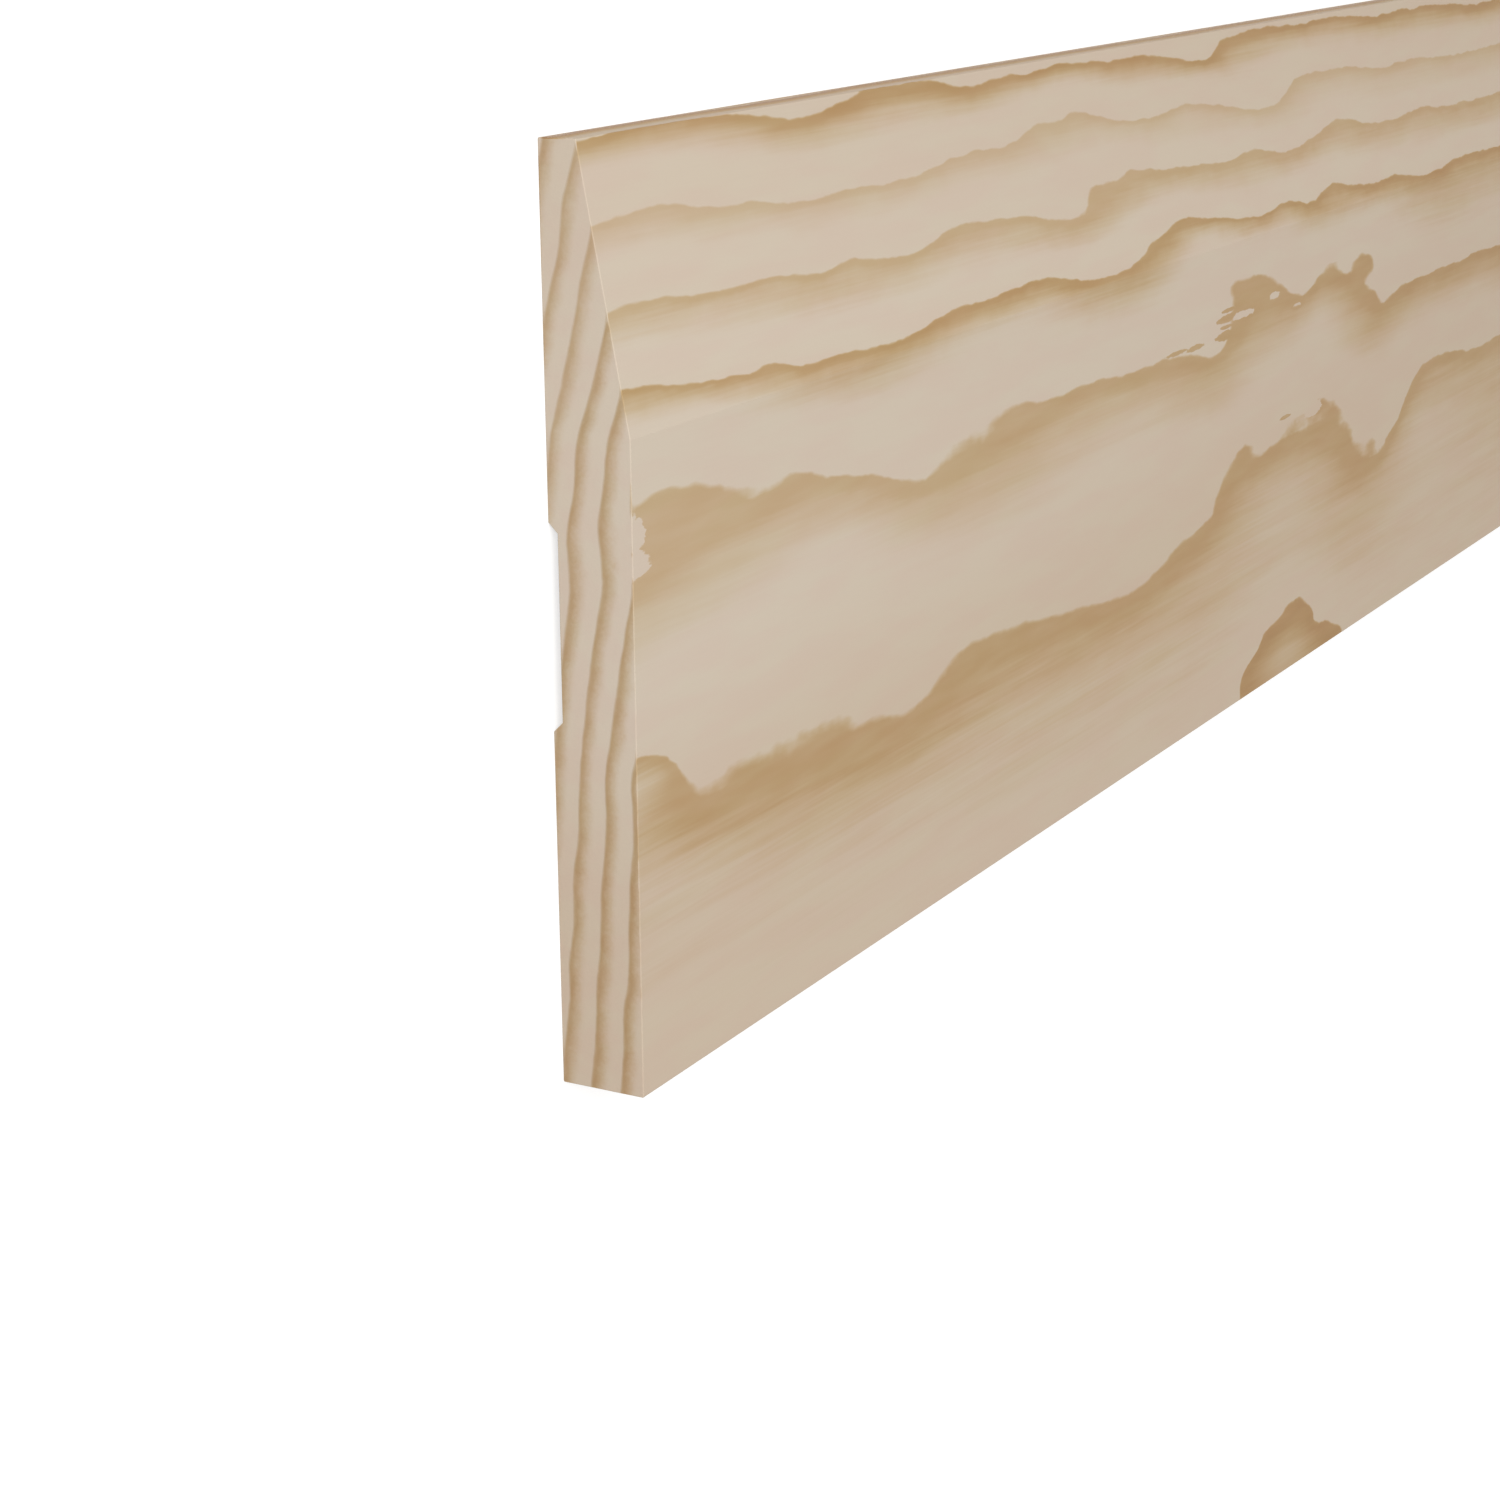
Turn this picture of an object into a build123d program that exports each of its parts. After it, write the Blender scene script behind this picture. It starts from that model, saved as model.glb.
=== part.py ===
"""Bevelled pine architrave: one planed length of softwood moulding, lying on its back.

X runs along the length, Y across the width from the thick edge to the thin edge, and Z up from
the back to the face. The origin is the centre of the back. Millimetres throughout.
"""

import os

from build123d import *

# Driving dimensions
LENGTH = 2100.0  # the length that door architraves are sold in
WIDTH = 120.0
THICKNESS = 12.0
THIN_EDGE = 5.3  # what the bevel leaves of the thickness at the thin edge
BEVEL_WIDTH = 35.3  # how far the bevel comes in from the thin edge
RELIEF_FLOOR = 24.0  # flat floor of the shallow channel along the back
RELIEF_DEPTH = 1.3  # the channel's sides slope at 45 degrees, so this is their width too
RELIEF_CENTRE = 0.2  # the channel's middle, from the middle of the back towards the thin edge
LONG_ARRIS = 0.2  # radius left on the planed corners along the length
END_ARRIS = 0.15  # sanded chamfer round each sawn end

# Places worked out from them
THICK_SIDE = -WIDTH / 2
THIN_SIDE = WIDTH / 2
CREASE = THIN_SIDE - BEVEL_WIDTH  # where the flat face turns into the bevel
RELIEF_LOW = RELIEF_CENTRE - RELIEF_FLOOR / 2
RELIEF_HIGH = RELIEF_CENTRE + RELIEF_FLOOR / 2


def relief_outline():
    """The channel's corners across the back, from its thin side to its thick side."""
    return [
        (RELIEF_HIGH + RELIEF_DEPTH, 0),
        (RELIEF_HIGH, RELIEF_DEPTH),
        (RELIEF_LOW, RELIEF_DEPTH),
        (RELIEF_LOW - RELIEF_DEPTH, 0),
    ]


def moulding_section():
    """The closed section across the length, with its four outer corners eased."""
    outline = [
        (THICK_SIDE, 0),
        (THICK_SIDE, THICKNESS),
        (CREASE, THICKNESS),
        (THIN_SIDE, THIN_EDGE),
        (THIN_SIDE, 0),
        *relief_outline(),
    ]
    with BuildSketch(Plane.YZ) as section:
        with BuildLine():
            Polyline(*outline, close=True)
        make_face()
        across = section.vertices().sort_by(Axis.X)
        outer = across[:2] + across[-2:]
        fillet(outer, radius=LONG_ARRIS)
    return section.sketch


def architrave():
    """The section carried along the length, with the arris of each sawn end taken off."""
    board = extrude(moulding_section(), amount=LENGTH / 2, both=True)
    ends = board.faces().sort_by(Axis.X)
    return chamfer(ends[0].edges() + ends[-1].edges(), length=END_ARRIS)


os.makedirs("parts", exist_ok=True)
export_step(architrave(), "parts/architrave.step")
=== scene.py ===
"""Bevelled pine architrave: one planed length of softwood moulding, lying on its back.

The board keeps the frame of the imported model: X along the length, Y across the width from the thick
edge to the thin edge, Z up from the back to the face, in metres. Its growth rings are one solid field,
worked out at every vertex, so a ring that runs out on an arris carries on round it, as in real timber.
"""

import logging
import math
from dataclasses import dataclass, field
from enum import Enum

import bpy
import numpy as np
from mathutils import Matrix, Vector


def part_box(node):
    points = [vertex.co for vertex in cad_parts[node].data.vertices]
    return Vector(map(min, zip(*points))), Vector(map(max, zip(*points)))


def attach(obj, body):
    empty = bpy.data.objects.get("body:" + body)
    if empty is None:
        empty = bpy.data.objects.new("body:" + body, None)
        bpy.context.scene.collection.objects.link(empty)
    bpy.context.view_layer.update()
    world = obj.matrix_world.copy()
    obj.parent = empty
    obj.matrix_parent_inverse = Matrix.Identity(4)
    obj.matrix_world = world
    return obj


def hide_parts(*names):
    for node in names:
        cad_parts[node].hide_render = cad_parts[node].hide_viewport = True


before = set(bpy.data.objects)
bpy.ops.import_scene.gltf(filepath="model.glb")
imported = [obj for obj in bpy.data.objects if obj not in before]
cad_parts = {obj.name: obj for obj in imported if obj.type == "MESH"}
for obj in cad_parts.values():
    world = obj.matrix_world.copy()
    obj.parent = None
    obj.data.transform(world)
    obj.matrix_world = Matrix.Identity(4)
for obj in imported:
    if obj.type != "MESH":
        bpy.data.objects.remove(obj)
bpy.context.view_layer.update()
LOW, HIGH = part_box("architrave")

log = logging.getLogger("architrave")

MM = 0.001

MIX_SHARE, MIX_FIRST, MIX_SECOND, MIX_RESULT = 0, 6, 7, 2  # the Mix node's sockets for colours
NOISE_MIDDLE = 0.5  # the value that a noise sways about
WHITE = (1.0, 1.0, 1.0, 1.0)

Colour = tuple[float, float, float]  # linear red, green and blue
Pair = tuple[float, float]  # two measures that belong together
Point = tuple[float, float]  # a place on a surface, in the section or on a curve
Triple = tuple[float, float, float]  # a measure for each axis, or for red, green and blue
Socket = bpy.types.NodeSocket
Sockets = bpy.types.bpy_prop_collection


def shade(red: int, green: int, blue: int) -> Colour:
    """Turns a colour as it is seen, each part from 0 to 255, into the linear one that a shader takes.

    It undoes the screen's curve: a straight line for the darkest parts, and a power of 2.4 for the rest.

    Args:
        red: the red part.
        green: the green part.
        blue: the blue part.

    Returns:
        The linear colour, each part from 0 to 1.
    """
    seen = np.array((red, green, blue)) / 255
    straight = np.where(seen <= 0.04045, seen / 12.92, ((seen + 0.055) / 1.055) ** 2.4)
    return tuple(float(part) for part in straight)


class Surface(Enum):
    """The ways in which the board is cut. The value is the place of its material on the mesh."""

    PLANED = 0
    SAWN = 1
    # the eased arrises round each end, whose finish carries a painted highlight
    EASED = 2


class Noise(Enum):
    """The noises in the wood. The value is the shift in its place that sets one apart from the rest."""

    RIPPLE = 3.1
    FRAY = 7.7
    STREAK = 11.7
    BAND = 23.9
    PATCH = 31.3
    FIBRE = 41.3
    TEAR = 53.9
    MOTTLE = 67.1


@dataclass(frozen=True)
class RingLine:
    """One growth ring as it shows on the board, measured in millimetres.

    Attributes:
        ring: the ring's number, counted outwards from the pith.
        brown: how deep its late wood is coloured on the face, by the near end and further along.
        breadth: how far its brown reaches into the ring there, where 1 is the usual.
        sawn_brown: how deep it is coloured on a sawn end.
        face: where its dark outer edge runs, as (along from the near end, up over face and bevel).
        faded: where its brown has faded out below that edge, measured the same way.
        sawn: where its dark edge runs on the near end, as (through from the back, up from the foot).
    """

    ring: int
    brown: Pair
    breadth: Pair
    sawn_brown: float
    face: tuple[Point, ...] = ()
    faded: tuple[Point, ...] = ()
    sawn: tuple[Point, ...] = ()


@dataclass(frozen=True)
class Lens:
    """A small lens-shaped spot of the face where the rings' edges are pushed outwards or inwards.

    Attributes:
        centre: its middle, as (along from the near end, up over the face), in millimetres.
        half: half its length and half its height, in millimetres.
        lift: how far it moves the rings, as a share of a ring: below nought it spreads the brown.
    """

    centre: Point
    half: Pair
    lift: float


# The growth rings from the pith outwards, read where they cross the face and the near end
RING_LINES = (
    RingLine(
        ring=0,
        brown=(1.3, 1.5),
        breadth=(1.35, 1.43),
        sawn_brown=0.9,
        face=((213.4, 0), (213.6, 3), (215, 4.8), (219, 6.3), (222.5, 7.6), (224.5, 9.3), (228, 10.6),
              (234, 11), (237, 12.2), (240, 12.8), (245, 12.5), (248, 11), (251.5, 9.3), (253, 7),
              (254.5, 5.8), (259, 5), (263, 3.7), (267, 2.5), (270.5, 0), (300, -10), (335, -11),
              (370, -11)),
        faded=((228, 3.5), (237, 5.5), (246, 4)),
    ),
    RingLine(
        ring=1,
        brown=(0.93, 0.84),
        breadth=(0.5, 0.8),
        sawn_brown=0.86,
        face=((0, 45.0), (2.4, 44.8), (5.4, 44.1), (8.4, 42.6), (11.9, 39.3), (15.5, 36.7), (18.7, 35.8),
              (21.4, 37.0), (25, 37.9), (29, 37.4), (33, 37.0), (38, 36.4), (42, 35.8), (46, 36.9),
              (51, 36.8), (56, 35.3), (60, 33.8), (67, 33.3), (72.3, 32.6), (81, 32.4), (87, 35.0),
              (98, 37.2), (112, 36.5), (130, 34.7), (145, 33.0), (158, 31.8), (170, 32.7),
              (184, 36.0), (195, 37.5), (198, 40), (202, 43.5), (206, 46.3), (210, 47.5), (215, 46.8),
              (220, 44.6), (224, 44.9), (230, 45.8), (237, 46.8), (241, 45.4), (247, 45.7), (252, 46.2),
              (254.5, 49.3), (258, 48), (260, 47), (262.5, 46), (264, 43), (266.5, 42), (269.5, 41.3),
              (271.5, 38.5), (274.5, 37.3), (276.5, 35.5), (278.5, 34), (283, 33.5), (286, 34.8),
              (291, 33.5), (301, 38.4), (308, 43.5), (313, 45.9), (340, 46.0), (354, 44.6),
              (370, 45.1)),
        faded=((20, 18), (60, 16.5), (100, 15.5), (150, 15.5), (185, 15.5), (205, 17.5), (214, 22),
               (221, 30), (230, 36), (240, 35.5), (247, 29), (256, 21.5), (270, 15.5), (285, 15.5),
               (296, 22), (304, 29), (313, 36.5), (325, 37.5), (340, 35.5), (356, 32), (370, 29)),
        sawn=((11.3, 43.0), (11.1, 40.5), (11.3, 36.0), (10.9, 30.5), (10.5, 26.0), (10.25, 19.0),
              (10.1, 15.5), (9.4, 12.0), (9.2, 8.0), (8.7, 0.3)),
    ),
    RingLine(
        ring=2,
        brown=(0.46, 1.1),
        breadth=(0.95, 1.08),
        sawn_brown=0.84,
        face=((0, 67.3), (3, 76.9), (7.4, 77.3), (13.7, 76.8), (20.2, 75.4), (27, 73.7), (33.8, 72.1),
              (37, 73.0), (41, 73.1), (49.3, 71.5), (57, 69.9), (62.5, 69.1), (69.4, 67.4), (76.4, 65.7),
              (81.3, 65.2), (84, 66.2), (88.6, 67.2), (91.7, 68.2), (97.4, 68.1), (101.5, 67.9),
              (104.5, 70.0), (109, 70.8), (114.5, 70.6), (120, 69.9), (140, 70.0), (156, 69.0),
              (180, 68.4), (190, 66.6), (196, 66.2), (200.5, 67.4), (202.5, 71), (203.5, 74),
              (202, 76.8), (204, 78), (208, 78), (216, 77.4), (222, 76.4), (225, 75), (228, 74),
              (233, 72.2), (240, 71), (244, 71.5), (247, 72.7), (250, 73.8), (252, 74.5), (257.5, 74.8),
              (258.8, 72.9), (262, 71.9), (265, 71.7), (268, 72.9), (271, 73.9), (275, 74), (278.5, 73),
              (279.3, 71), (276.5, 69.8), (275.4, 68), (281.5, 66), (287.5, 63.2), (295, 64.6),
              (310, 65.3), (335, 65.2), (366, 65.3)),
        faded=((10, 59.5), (28, 61.5), (45, 63.5), (62, 62), (76, 57.5), (95, 56), (115, 57),
               (135, 60), (160, 61.5), (185, 58.5), (200, 57.5), (215, 62.5), (235, 64.5), (250, 67.5),
               (262, 63.5), (270, 58), (280, 55.5), (300, 58), (320, 59.5), (355, 60)),
        sawn=((11.1, 62.5), (10.0, 57.0), (8.9, 51.0), (7.6, 43.5), (7.35, 38.0), (6.8, 30.0),
              (6.3, 25.5), (6.1, 19.0), (5.4, 14.0), (5.25, 9.5), (4.3, 0.5)),
    ),
    RingLine(
        ring=3,
        brown=(1.1, 1.42),
        breadth=(0.72, 0.8),
        sawn_brown=0.8,
        face=((0, 90.8), (6, 90.3), (15, 89.2), (30, 88.2), (37, 88.3), (43, 87.3), (58, 86.9),
              (74, 86.3), (81, 86.9), (91, 88.1), (103, 88.0), (113, 88.4), (126, 88.3), (138, 86.5),
              (155, 86.0), (163, 87.5), (167, 89.0), (171, 89.2), (181, 91.4), (190, 90.5),
              (203, 89.0), (222, 88.0), (228, 88.8), (244, 87.4), (252, 89.2), (264, 88.6),
              (285, 87.3), (292, 87.7), (300, 86.7), (319, 86.0), (331, 87.0), (360, 86.9)),
        faded=((20, 86), (45, 82.5), (62, 80.5), (78, 82), (110, 84.5), (150, 80.5), (165, 80.5),
               (178, 85), (190, 87.5), (225, 85.5), (285, 83), (310, 79), (335, 77.5), (358, 79.5)),
        sawn=((10.2, 88.5), (9.0, 85.0), (7.9, 78.0), (7.2, 74.0), (7.45, 70.0), (7.5, 66.0),
              (6.1, 58.5), (5.05, 52.5), (4.1, 45.5), (3.4, 37.0), (3.0, 32.0), (2.35, 28.0),
              (2.2, 22.0), (1.35, 16.5), (1.35, 12.0), (0.6, 6.5)),
    ),
    RingLine(
        ring=4,
        brown=(0.68, 0.78),
        breadth=(0.58, 0.88),
        sawn_brown=0.85,
        face=((0, 100.2), (10, 100.3), (28, 99.2), (45, 98.8), (54, 98.1), (62, 98.8), (76, 97.5),
              (87, 98.1), (92, 99.1), (106, 99.2), (120, 98.4), (131, 96.6), (139, 96.0),
              (143.5, 97.4), (146, 100.0), (150, 100.4), (155, 99.9), (162, 101.2), (172, 100.2),
              (190, 99.5), (207, 98.7), (218, 99.4), (230, 97.7), (242, 97.9), (252, 99.2),
              (263, 100.9), (271, 100.2), (279, 99.0), (295, 98.2), (314, 99.1), (330, 98.2),
              (368, 98.0)),
        sawn=((8.0, 95.0), (6.5, 90.0), (4.4, 83.5), (4.0, 79.5), (3.1, 74.5), (2.6, 71.5),
              (2.9, 67.0), (2.2, 60.5), (0.3, 46.5)),
    ),
    RingLine(
        ring=5,
        brown=(0.34, 0.35),
        breadth=(0.61, 0.99),
        sawn_brown=0.63,
        face=((0, 110.2), (8, 111.0), (17, 111.1), (26, 109.8), (42, 108.8), (50, 107.8),
              (68, 108.0), (76, 107.6), (92, 108.4), (105, 109.4), (117, 109.2), (123, 110.0),
              (129, 111.3), (138, 111.2), (143, 112.1), (149, 111.4), (156, 110.0), (168, 108.8),
              (176, 108.6), (190, 109.6), (205, 108.2), (222, 106.2), (231, 106.1), (239, 108.0),
              (245, 110.0), (256, 110.3), (275, 110.0), (294, 108.5), (308, 108.8), (335, 108.0),
              (370, 108.1)),
        sawn=((5.9, 105.0), (4.7, 99.5), (3.4, 94.5), (2.0, 89.0), (0.6, 83.8)),
    ),
    RingLine(
        ring=6,
        brown=(0.76, 1.06),
        breadth=(0.56, 0.74),
        sawn_brown=0.64,
        face=((0, 120.5), (42, 120.0), (50, 118.7), (56, 118.4), (65, 119.2), (73, 120.4),
              (95, 120.4), (103, 119.3), (109, 118.2), (115, 119.1), (128, 119.0), (143, 119.8),
              (158, 118.7), (170, 118.8), (178, 118.5), (188, 117.2), (202, 116.2), (206, 117.2),
              (210, 118.7), (220, 119.6), (232, 120.0), (250, 119.4), (270, 119.7), (285, 118.8),
              (300, 118.5), (315, 118.8), (330, 118.7), (350, 117.6), (370, 117.2)),
        sawn=((4.1, 115.5), (3.1, 112.0), (2.5, 107.0), (1.2, 102.5), (0.3, 99.0)),
    ),
    # Ring 7 along the back of the thin edge: its deep brown is partly real late wood, partly painted
    # shade on the thin edge
    RingLine(
        ring=7,
        brown=(2.3, 2.3),
        breadth=(1.4, 1.4),
        sawn_brown=0.72,
        face=((20, 125.4), (50, 124.4), (90, 125.2), (130, 124.9), (170, 124.8), (240, 124.8),
              (310, 124.9), (370, 124.9)),
        sawn=((0.6, 119.6),),
    ),
)

# How brown the wood is by its depth in from a ring's outer edge, as (share of the ring, brown)
PLANED_FADING = (
    (0.0, 0.97), (0.05, 1.0), (0.1, 0.94), (0.15, 0.81), (0.2, 0.69), (0.25, 0.6), (0.3, 0.51),
    (0.37, 0.39), (0.45, 0.29), (0.55, 0.165), (0.7, 0.026), (0.85, 0.0), (1.0, 0.0),
)

SAWN_FADING = (
    (0.0, 0.55), (0.04, 0.85), (0.08, 1.0), (0.12, 0.95), (0.16, 0.83), (0.2, 0.71), (0.25, 0.57),
    (0.3, 0.44), (0.35, 0.33), (0.4, 0.22), (0.47, 0.1), (0.55, 0.02), (0.7, 0.0), (1.0, 0.0),
)

# The bites, slits and flecks that break the rings' edges
LENSES = (
    Lens(centre=(0.0, 69.1), half=(3.0, 1.35), lift=0.1),
    Lens(centre=(0.0, 73.0), half=(2.8, 1.8), lift=0.1),
    Lens(centre=(199.5, 71.9), half=(4.0, 0.6), lift=-0.07),
    Lens(centre=(199.0, 69.0), half=(4.0, 0.7), lift=-0.07),
    Lens(centre=(209.5, 71.6), half=(5.5, 0.6), lift=0.08),
    Lens(centre=(224.0, 72.7), half=(2.4, 0.7), lift=0.07),
    Lens(centre=(236.5, 69.3), half=(2.8, 0.7), lift=0.12),
    Lens(centre=(199.5, 70.5), half=(2.6, 0.3), lift=-0.07),
    Lens(centre=(200.6, 73.3), half=(2.6, 0.3), lift=-0.07),
    Lens(centre=(186.5, 69.0), half=(4.2, 0.5), lift=-0.058),
    Lens(centre=(177.5, 69.3), half=(4.0, 0.4), lift=-0.05),
    Lens(centre=(247.5, 48.6), half=(3.6, 1.1), lift=0.09),
    Lens(centre=(232.3, 49.4), half=(2.4, 0.3), lift=-0.13),
)


@dataclass(frozen=True)
class Section:
    """The moulding's section, in metres: Y across from the thick edge, Z up from the back.

    Attributes:
        width: the whole width.
        thickness: the thickness of the flat part.
        thin_edge: the thickness that the bevel leaves at the thin edge.
        bevel: how far the bevel comes in from the thin edge.
        channel_floor: the width of the channel's flat floor along the back.
        channel_depth: the channel's depth, and the width of each of its sloping sides.
        channel_centre: the channel's middle, from the middle of the back.
        arris: the radius of the eased corners.
        arris_steps: the number of chords in half an eased corner.
        column: the aim for the width of a mesh column.
        rows: the number of mesh rows through each edge.
    """

    width: float
    thickness: float
    thin_edge: float = 5.3 * MM
    bevel: float = 35.3 * MM
    channel_floor: float = 24.0 * MM
    channel_depth: float = 1.3 * MM
    channel_centre: float = 0.2 * MM
    arris: float = 0.2 * MM
    arris_steps: int = 3
    column: float = 1.25 * MM
    rows: int = 6

    @property
    def crease(self) -> float:
        """The place across the width where the flat face turns into the bevel."""
        return self.width / 2 - self.bevel

    @property
    def channel(self) -> tuple[float, float, float, float]:
        """The channel's four corners across the back.

        Returns:
            Their places across the width, from the channel's thick side to its thin side.
        """
        low = self.channel_centre - self.channel_floor / 2
        high = self.channel_centre + self.channel_floor / 2
        return (low - self.channel_depth, low, high, high + self.channel_depth)

    def face_height(self, across: np.ndarray) -> np.ndarray:
        """The face's height: level up to the crease, then straight down to the thin edge.

        Args:
            across: places across the width.

        Returns:
            The height of the face over each of them.
        """
        return np.interp(across, (self.crease, self.width / 2), (self.thickness, self.thin_edge))

    def back_height(self, across: np.ndarray) -> np.ndarray:
        """The back's height: nought on the lands, and the channel's depth over its floor.

        Args:
            across: places across the width.

        Returns:
            The height of the back under each of them.
        """
        return np.interp(across, self.channel, (0.0, self.channel_depth, self.channel_depth, 0.0))

    def up_the_face(self, up: np.ndarray) -> np.ndarray:
        """Places measured up over the flat face and the bevel, then down the thin edge.

        Args:
            up: lengths over the surface from the foot of the face, in metres.

        Returns:
            An array of (across, height), one row for each length.
        """
        flat = self.width - self.bevel
        slant = math.hypot(self.bevel, self.thickness - self.thin_edge)
        share = np.clip((up - flat) / slant, 0.0, 1.0)
        across = np.minimum(up, flat) + share * self.bevel - self.width / 2
        dropped = np.maximum(up - flat - slant, 0.0)
        height = self.thickness - share * (self.thickness - self.thin_edge) - dropped
        return np.stack([across, height], axis=-1)

    def eased_corner(self, corner: Point, before: Point, after: Point) -> np.ndarray:
        """The arc of the arris radius that touches both sides of a corner.

        The two touching points and the arc's centre follow from half the corner's angle, and the
        points on the arc divide its sweep evenly.

        Args:
            corner: the sharp corner.
            before: the unit direction from the corner back along the side that comes first.
            after: the unit direction from the corner along the side that comes next.

        Returns:
            Points from one touching point to the other, twice arris_steps chords of them.
        """
        first, last = np.array(before), np.array(after)
        half_angle = math.acos(float(first @ last)) / 2
        middle = (first + last) / np.linalg.norm(first + last)
        centre = np.array(corner) + middle * self.arris / math.sin(half_angle)
        touch = self.arris / math.tan(half_angle)
        start = (np.array(corner) + first * touch - centre) / self.arris
        end = (np.array(corner) + last * touch - centre) / self.arris
        sweep = math.acos(float(start @ end))
        turn = np.linspace(0.0, sweep, 2 * self.arris_steps + 1)[:, None]
        arc = (np.sin(sweep - turn) * start + np.sin(turn) * end) / math.sin(sweep)
        return centre + self.arris * arc

    def sides(self) -> dict[str, np.ndarray]:
        """The four sides of the section as rows of points, each corner shared by two of them.

        The back and the face have one point in each mesh column, and each edge one in each row. The
        corners between them are the middles of the eased arrises.

        Returns:
            Arrays of (across, height) named back, face, thick and thin, from low Y or low Z upwards.
        """
        half = self.width / 2
        slope = math.atan2(self.thickness - self.thin_edge, self.bevel)
        up_bevel = (-math.cos(slope), math.sin(slope))
        half_arc = self.arris_steps
        low_thick = self.eased_corner((-half, 0.0), (0.0, 1.0), (1.0, 0.0))
        low_thin = self.eased_corner((half, 0.0), (-1.0, 0.0), (0.0, 1.0))
        high_thin = self.eased_corner((half, self.thin_edge), (0.0, -1.0), up_bevel)
        high_thick = self.eased_corner((-half, self.thickness), (1.0, 0.0), (0.0, -1.0))
        marks = (-half + self.arris, *self.channel, self.crease, half - self.arris)
        columns = divided(marks, self.column)[1:-1]
        back = np.stack([columns, self.back_height(columns)], axis=-1)
        face = np.stack([columns, self.face_height(columns)], axis=-1)
        thick = self.edge_rows(low_thick[0], high_thick[-1])
        thin = self.edge_rows(low_thin[-1], high_thin[0])
        return {
            "back": np.concatenate([low_thick[half_arc:], back, low_thin[:half_arc + 1]]),
            "face": np.concatenate([high_thick[half_arc::-1], face, high_thin[:half_arc - 1:-1]]),
            "thick": np.concatenate([low_thick[half_arc::-1], thick, high_thick[:half_arc - 1:-1]]),
            "thin": np.concatenate([low_thin[half_arc:], thin, high_thin[:half_arc + 1]]),
        }

    def edge_rows(self, low: np.ndarray, high: np.ndarray) -> np.ndarray:
        """Evenly spaced points strictly between two ends of a straight edge."""
        return np.linspace(low, high, self.rows + 1)[1:-1]


def smooth_step(values: np.ndarray, low: float, high: float) -> np.ndarray:
    """Rises from 0 at low to 1 at high, as three times the square less twice the cube of the share.

    Args:
        values: any values.
        low: where the rise begins.
        high: where it ends.

    Returns:
        The step's height at each value.
    """
    share = np.clip((values - low) / (high - low), 0.0, 1.0)
    return share**2 * (3.0 - 2.0 * share)


def divided(marks: tuple[float, ...], step: float) -> np.ndarray:
    """Divides each stretch between two marks into equal parts of about one step.

    Args:
        marks: rising places, all of which are kept.
        step: the aim for the length of a part.

    Returns:
        The rising places of all marks and divisions.
    """
    parts = [
        np.linspace(low, high, max(round((high - low) / step), 1), endpoint=False)
        for low, high in zip(marks[:-1], marks[1:])
    ]
    return np.concatenate([*parts, [marks[-1]]])


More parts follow.
